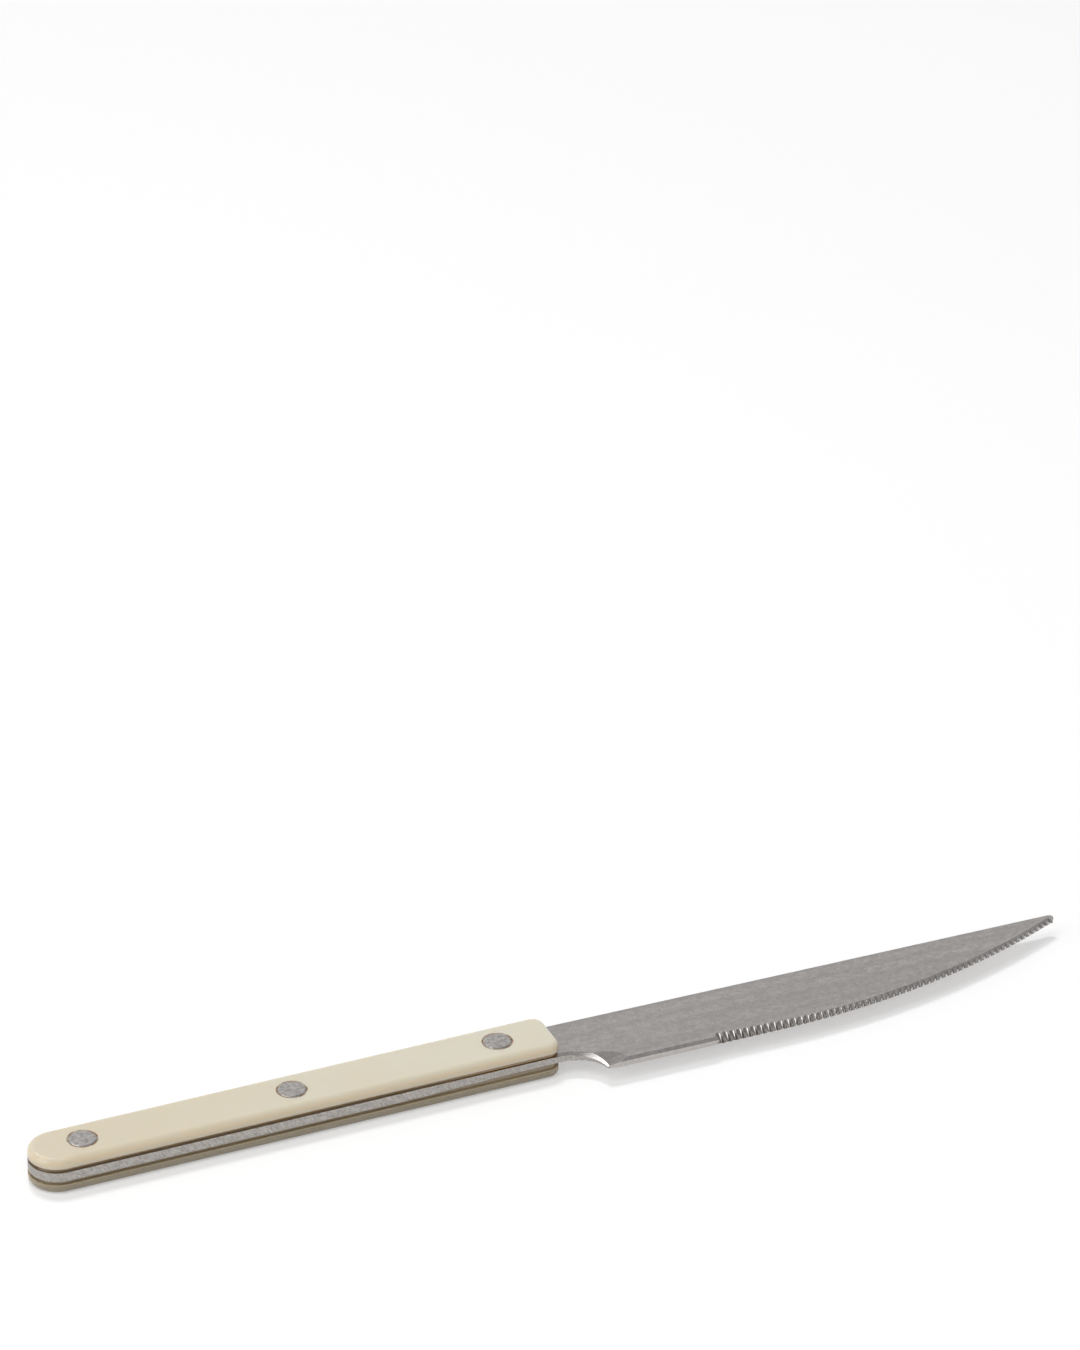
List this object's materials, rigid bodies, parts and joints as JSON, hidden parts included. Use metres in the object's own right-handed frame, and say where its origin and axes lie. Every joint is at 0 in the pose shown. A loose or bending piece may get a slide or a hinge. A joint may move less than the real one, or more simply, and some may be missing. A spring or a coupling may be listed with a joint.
{
  "type": "table knife",
  "caption": "Riveted table knife: a pointed steel blade with a serrated edge and a full tang between two cream moulded handle scales, lying on its side.",
  "frame": {"origin": "middle of the knife's outline as seen from above, on the surface that the knife lies on", "axes": "+X from the butt to the tip along the handle, +Y from the cutting edge to the back of the blade, +Z from the back face of the knife to its front face"},
  "size_m": [0.2344, 0.0194, 0.0083],
  "materials": {
    "satin_steel": "satin",
    "rivet_metal": "satin",
    "cream_plastic": "gloss"
  },
  "bodies": {
    "root": {"blade": "satin_steel", "front_scale": "cream_plastic", "back_scale": "cream_plastic", "butt_rivet_sleeve": "rivet_metal", "butt_rivet_post": "rivet_metal", "middle_rivet_sleeve": "rivet_metal", "middle_rivet_post": "rivet_metal", "neck_rivet_sleeve": "rivet_metal", "neck_rivet_post": "rivet_metal"}
  },
  "joints": []
}
